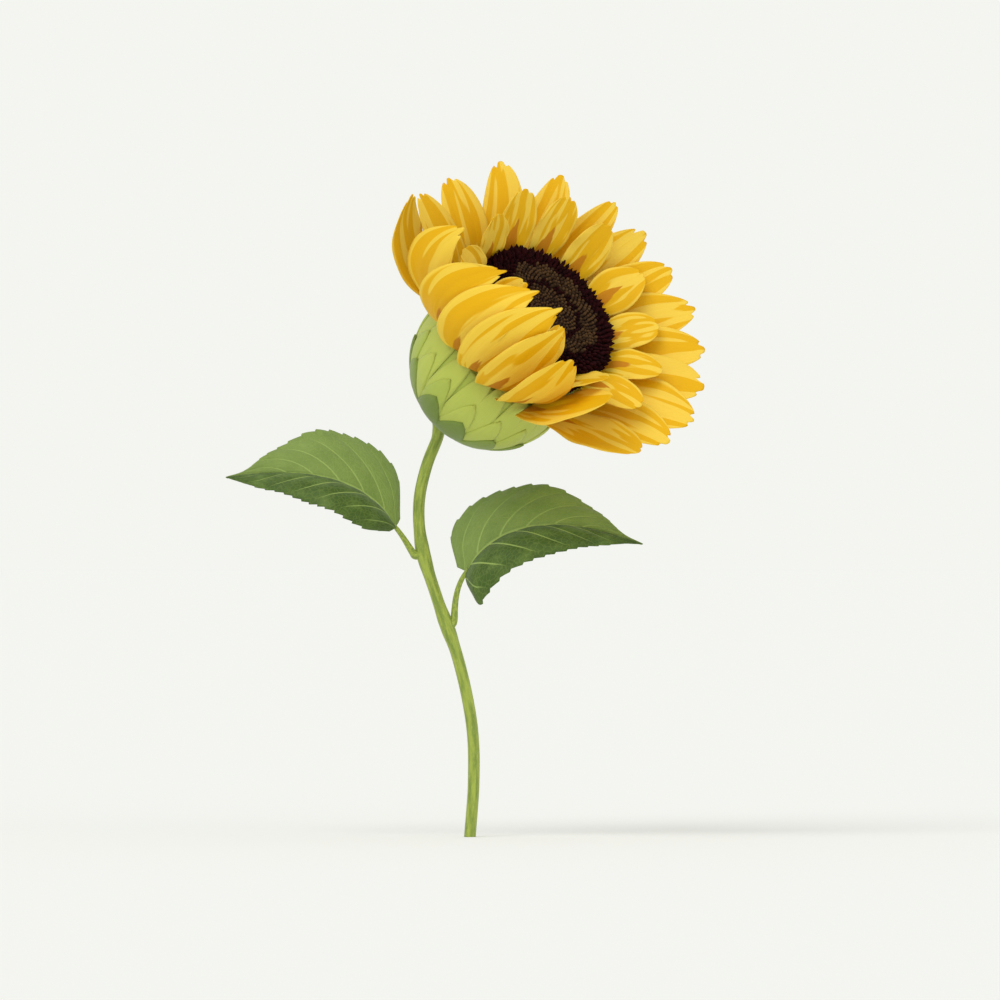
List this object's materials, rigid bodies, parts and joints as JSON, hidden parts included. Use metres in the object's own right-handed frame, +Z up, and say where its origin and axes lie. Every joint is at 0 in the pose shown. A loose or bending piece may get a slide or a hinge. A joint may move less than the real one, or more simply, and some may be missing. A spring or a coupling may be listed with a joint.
{
  "type": "sunflower plant",
  "caption": "Young sunflower plant: a thin curved stem, two stalked heart-shaped leaves and one large golden bloom tilted to the side.",
  "frame": {"origin": "centre of the stem's flat cut at ground level", "axes": "+Z up along the plant's height, front of the plant towards -Y, the bloom leans and faces towards +X and -Y"},
  "size_m": [0.3539, 0.1931, 0.4999],
  "materials": {
    "stem": "matt green skin with fine hairs",
    "cup": "matt pale green bracts with fine hairs",
    "disc": "rough, packed florets, maroon and brown",
    "petals": "smooth, softly ribbed golden yellow",
    "leaves": "matt green with raised veins, paler beneath"
  },
  "bodies": {
    "root": {"stem": "stem", "cup": "cup", "disc": "disc", "ray_outer_01": "petals", "ray_outer_02": "petals", "ray_outer_03": "petals", "ray_outer_04": "petals", "ray_outer_05": "petals", "ray_outer_06": "petals", "ray_outer_07": "petals", "ray_outer_08": "petals", "ray_outer_09": "petals", "ray_outer_10": "petals", "ray_outer_11": "petals", "ray_outer_12": "petals", "ray_outer_13": "petals", "ray_outer_14": "petals", "ray_outer_15": "petals", "ray_outer_16": "petals", "ray_outer_17": "petals", "ray_outer_18": "petals", "ray_outer_19": "petals", "ray_outer_20": "petals", "ray_outer_21": "petals", "ray_inner_01": "petals", "ray_inner_02": "petals", "ray_inner_03": "petals", "ray_inner_04": "petals", "ray_inner_05": "petals", "ray_inner_06": "petals", "ray_inner_07": "petals", "ray_inner_08": "petals", "ray_inner_09": "petals", "ray_inner_10": "petals", "ray_inner_11": "petals", "ray_inner_12": "petals", "ray_inner_13": "petals", "leaf_stalk_left": "stem", "leaf_stalk_right": "stem", "leaf_blade_left": "leaves", "leaf_blade_right": "leaves"}
  },
  "joints": []
}
